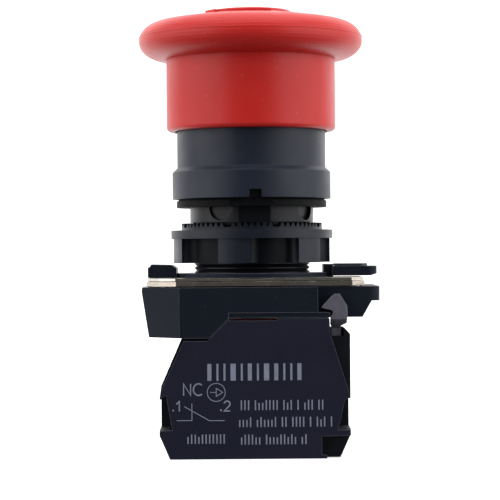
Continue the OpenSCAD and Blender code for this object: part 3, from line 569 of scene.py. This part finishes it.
def addSpring(name, setup):
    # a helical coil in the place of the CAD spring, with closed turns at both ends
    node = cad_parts[name]
    corners = [node.matrix_world @ Vector(corner) for corner in node.bound_box]
    low = [min(corner[axis] for corner in corners) / mm for axis in range(3)]
    high = [max(corner[axis] for corner in corners) / mm for axis in range(3)]
    own = setup["coils"][name]
    wire = own["wire"]
    centre = ((low[0] + high[0]) / 2, (low[1] + high[1]) / 2)
    coilRadius = (high[0] - low[0]) / 2 - wire - setup["slack"]
    foot, head = low[2] + wire, high[2] - wire
    closed = setup["closedTurns"] / own["turns"]
    steps = own["turns"] * setup["stepsPerTurn"]
    work = bmesh.new()
    rings = []
    for step in range(steps + 1):
        share = step / steps
        angle = 2 * math.pi * own["turns"] * share
        climb = min(1, max(0, (share - closed / 2) / (1 - closed)))
        outward = Vector((math.cos(angle), math.sin(angle), 0))
        middle = Vector((centre[0], centre[1], foot + (head - foot) * climb)) + outward * coilRadius
        ring = []
        for side in range(setup["sides"]):
            turn = 2 * math.pi * side / setup["sides"]
            ring.append(work.verts.new((middle + outward * wire * math.cos(turn)
                                        + Vector((0, 0, wire * math.sin(turn)))) * mm))
        rings.append(ring)
    for first, second in zip(rings, rings[1:]):
        for side in range(setup["sides"]):
            after = (side + 1) % setup["sides"]
            work.faces.new((first[side], second[side], second[after], first[after]))
    work.faces.new(rings[0])
    work.faces.new(list(reversed(rings[-1])))
    for face in work.faces:
        face.smooth = len(face.verts) == 4
    piece = addPiece(name + "_coil", work, "springWire", own["body"])
    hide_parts(name)
    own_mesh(piece)


for springName in springs["coils"]:
    addSpring(springName, springs)
print("springs wound")

coverPrint = {
    # places in mm from the cover's lower left corner
    "ink": 0.02,            # stands this far proud of the cover
    "sink": 0.03,
    "stroke": 0.24,
    "fineStroke": 0.13,
    "headingBars": {"left": 8.3, "foot": 13.5, "height": 2.9, "gap": 0.86,
                    "bars": (0.7, 0.35, 0.35, 0.9, 0.35, 0.7,
                             0.35, 0.9, 0.7, 0.35, 0.35, 0.7)},
    "tickRows": [
        # left, foot, length, height
        (14.1, 8.4, 14.2, 1.7),
        (13.8, 5.5, 15.9, 1.7),
        (14.1, 2.5, 11.6, 1.7),
        (4.9, 2.7, 6.4, 1.6),
    ],
    "tickSeed": 7,
    "tickWidth": 0.22,
    "tickPitch": 0.62,
    "tickRises": (1.0, 1.0, 0.72),          # shares of the row's height
    "tickSteps": (1, 1, 1, 1, 1.9),         # shares of the pitch, the long one parts two groups
    "closedMark": (4.2, 11.0, 1.2, 2.0),    # left, foot, letter width, letter height
    "closedBowl": (2.15, 0.75),             # middle and radius of the C, in letter widths
    "closedArc": (50, 310, 14),             # arcs go from and to these degrees, in so many steps
    "arrowCentre": (9.8, 11.5),
    "arrowRadius": 1.55,
    "arrowArc": (0, 350, 35),
    "arrowTail": (-0.68, -0.02),            # ends of the tail, in radii from the centre
    "arrowTip": (0.72, 0.45),               # length and half width of the tip, in radii
    "firstTerminal": (2.5, 8.3, 1.0, 1.7),
    "secondTerminal": (10.7, 8.3, 1.0, 1.7),
    "dotSize": 0.288,
    "dotStep": -0.1,                        # from the terminal's left edge
    "digitStep": 0.45,
    "flagFoot": 0.72,                       # where the flag of the 1 begins, as a share of its height
    "bowlArc": (170, -35, 10),              # the bowl of the 2
    "fixedBlade": [(2.95, 6.7), (5.6, 6.7), (5.6, 9.6)],
    "movingBlade": [(4.3, 9.1), (8.6, 6.65), (11.2, 6.65)],
}


def arcPoints(centre, radius, start, end, steps):
    angles = [math.radians(start + (end - start) * step / steps) for step in range(steps + 1)]
    return [(centre[0] + radius * math.cos(angle), centre[1] + radius * math.sin(angle))
            for angle in angles]


def ribbonSides(points, width, closed):
    # left and right edges of a stroke, mitred at its corners
    sharpest = 0.5      # holds the mitre of a sharp corner back
    count = len(points)
    left, right = [], []
    for index, point in enumerate(points):
        before = points[index - 1] if closed or index > 0 else None
        after = points[(index + 1) % count] if closed or index < count - 1 else None
        headings = []
        for start, end in ((before, point), (point, after)):
            if start is not None and end is not None:
                run = Vector((end[0] - start[0], end[1] - start[1])).normalized()
                headings.append(Vector((-run.y, run.x)))
        across = sum(headings, Vector((0, 0))).normalized()
        reach = width / 2 / max(across.dot(headings[0]), sharpest)
        left.append((point[0] + across.x * reach, point[1] + across.y * reach))
        right.append((point[0] - across.x * reach, point[1] - across.y * reach))
    return left, right


def addStroke(work, place, points, width, closed=False):
    # one closed prism along the stroke, partly sunk in the cover
    left, right = ribbonSides(points, width, closed)
    columns = [[work.verts.new(place(spot, depth)) for spot, depth in
                ((leftSpot, 0), (leftSpot, 1), (rightSpot, 1), (rightSpot, 0))]
               for leftSpot, rightSpot in zip(left, right)]
    pairs = list(zip(columns, columns[1:]))
    if closed:
        pairs.append((columns[-1], columns[0]))
    else:
        work.faces.new(columns[0])
        work.faces.new(list(reversed(columns[-1])))
    for first, second in pairs:
        for corner in range(4):
            after = (corner + 1) % 4
            work.faces.new((first[corner], second[corner], second[after], first[after]))


def digitStroke(setup, digit, left, foot, width, height):
    middle = left + width / 2
    if digit == 1:
        flag = foot + height * setup["flagFoot"]
        return [(left, flag), (middle, foot + height), (middle, foot)]
    bowl = arcPoints((middle, foot + height - width / 2), width / 2, *setup["bowlArc"])
    return bowl + [(left, foot), (left + width, foot)]


def addCoverPrint(setup):
    low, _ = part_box("block_cover")
    front = low[1]

    def place(spot, depth):
        y = front - setup["ink"] * mm + depth * (setup["ink"] + setup["sink"]) * mm
        return (low[0] + spot[0] * mm, y, low[2] + spot[1] * mm)

    work = bmesh.new()
    heading = setup["headingBars"]
    x = heading["left"]
    top = heading["foot"] + heading["height"]
    for width in heading["bars"]:
        middle = x + width / 2
        addStroke(work, place, [(middle, heading["foot"]), (middle, top)], width)
        x += width + heading["gap"]
    dice = random.Random(setup["tickSeed"])
    for left, foot, length, height in setup["tickRows"]:
        x = left
        while x < left + length:
            rise = height * dice.choice(setup["tickRises"])
            addStroke(work, place, [(x, foot), (x, foot + rise)], setup["tickWidth"])
            x += setup["tickPitch"] * dice.choice(setup["tickSteps"])
    # the letters N and C, the C a circle drawn out to the letter height
    bold, fine = setup["stroke"], setup["fineStroke"]
    left, foot, width, height = setup["closedMark"]
    right, top, middle = left + width, foot + height, foot + height / 2
    addStroke(work, place, [(left, foot), (left, top), (right, foot), (right, top)], bold)
    bowlStep, bowlRadius = setup["closedBowl"]
    bowl = arcPoints((left + width * bowlStep, middle), width * bowlRadius, *setup["closedArc"])
    tall = height / (2 * bowlRadius * width)
    addStroke(work, place, [(x, middle + (y - middle) * tall) for x, y in bowl], bold)
    # an arrow in a circle
    centreX, centreY = setup["arrowCentre"]
    radius = setup["arrowRadius"]
    ring = arcPoints(setup["arrowCentre"], radius, *setup["arrowArc"])
    addStroke(work, place, ring, fine, closed=True)
    tail = [(centreX + radius * share, centreY) for share in setup["arrowTail"]]
    addStroke(work, place, tail, fine)
    tipLength, tipHalf = setup["arrowTip"]
    tip = [(centreX, centreY + radius * tipHalf), (centreX + radius * tipLength, centreY),
           (centreX, centreY - radius * tipHalf)]
    addStroke(work, place, tip, fine, closed=True)
    for digit, key in ((1, "firstTerminal"), (2, "secondTerminal")):
        left, foot, width, height = setup[key]
        dot = setup["dotSize"]
        dotX = left + setup["dotStep"]
        addStroke(work, place, [(dotX, foot), (dotX, foot + dot)], dot)
        points = digitStroke(setup, digit, left + setup["digitStep"], foot, width, height)
        addStroke(work, place, points, bold)
    for key in ("fixedBlade", "movingBlade"):
        addStroke(work, place, setup[key], fine)
    addPiece("cover_print", work, "printInk", "base")


addCoverPrint(coverPrint)
print("parting line and print added")
